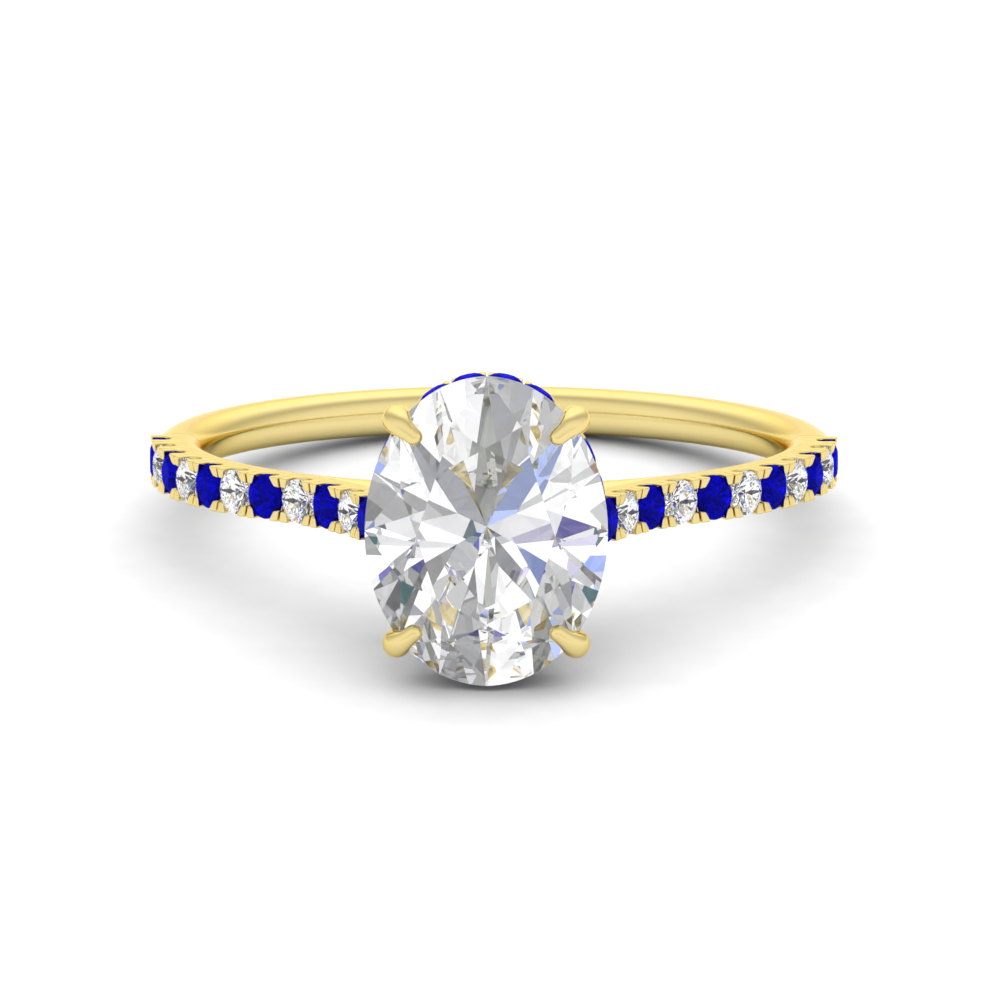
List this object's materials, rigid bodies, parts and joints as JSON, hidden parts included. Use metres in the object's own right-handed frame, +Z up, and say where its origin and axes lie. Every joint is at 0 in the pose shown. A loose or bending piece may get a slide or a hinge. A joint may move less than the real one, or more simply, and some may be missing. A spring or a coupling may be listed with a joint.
{
  "type": "engagement ring",
  "caption": "Yellow-gold engagement ring with an oval diamond in claws over a hidden sapphire halo and cathedral shoulders pave-set with sapphires and diamonds.",
  "frame": {"origin": "on the floor under the middle of the ring's box, as the ring lies on its side", "axes": "-Y towards the head with the centre stone, +X to the right of the ring seen from the stone, +Z up; the finger's axis leans 9.9 degrees from +Z away from the head, and the head end is the raised end"},
  "size_m": [0.02, 0.0248, 0.0091],
  "materials": {
    "yellow_gold": "polished yellow gold",
    "diamond": "polished facets, colourless",
    "sapphire": "polished facets, deep royal blue"
  },
  "bodies": {
    "root": {"shank": "yellow_gold", "halo_rail": "yellow_gold", "base_rail": "yellow_gold", "claw_right_upper": "yellow_gold", "claw_left_upper": "yellow_gold", "claw_left_lower": "yellow_gold", "claw_right_lower": "yellow_gold", "centre_diamond": "diamond", "left_sapphire_1": "sapphire", "left_sapphire_2": "sapphire", "left_sapphire_3": "sapphire", "left_sapphire_4": "sapphire", "left_sapphire_5": "sapphire", "left_sapphire_6": "sapphire", "left_diamond_1": "diamond", "left_diamond_2": "diamond", "left_diamond_3": "diamond", "left_diamond_4": "diamond", "left_diamond_5": "diamond", "right_sapphire_1": "sapphire", "right_sapphire_2": "sapphire", "right_sapphire_3": "sapphire", "right_sapphire_4": "sapphire", "right_sapphire_5": "sapphire", "right_sapphire_6": "sapphire", "right_diamond_1": "diamond", "right_diamond_2": "diamond", "right_diamond_3": "diamond", "right_diamond_4": "diamond", "right_diamond_5": "diamond", "halo_sapphire_01": "sapphire", "halo_sapphire_02": "sapphire", "halo_sapphire_03": "sapphire", "halo_sapphire_04": "sapphire", "halo_sapphire_05": "sapphire", "halo_sapphire_06": "sapphire", "halo_sapphire_07": "sapphire", "halo_sapphire_08": "sapphire", "halo_sapphire_09": "sapphire", "halo_sapphire_10": "sapphire", "halo_sapphire_11": "sapphire", "halo_sapphire_12": "sapphire", "halo_sapphire_13": "sapphire", "halo_sapphire_14": "sapphire", "halo_sapphire_15": "sapphire", "halo_sapphire_16": "sapphire", "halo_sapphire_17": "sapphire", "halo_sapphire_18": "sapphire"}
  },
  "joints": []
}
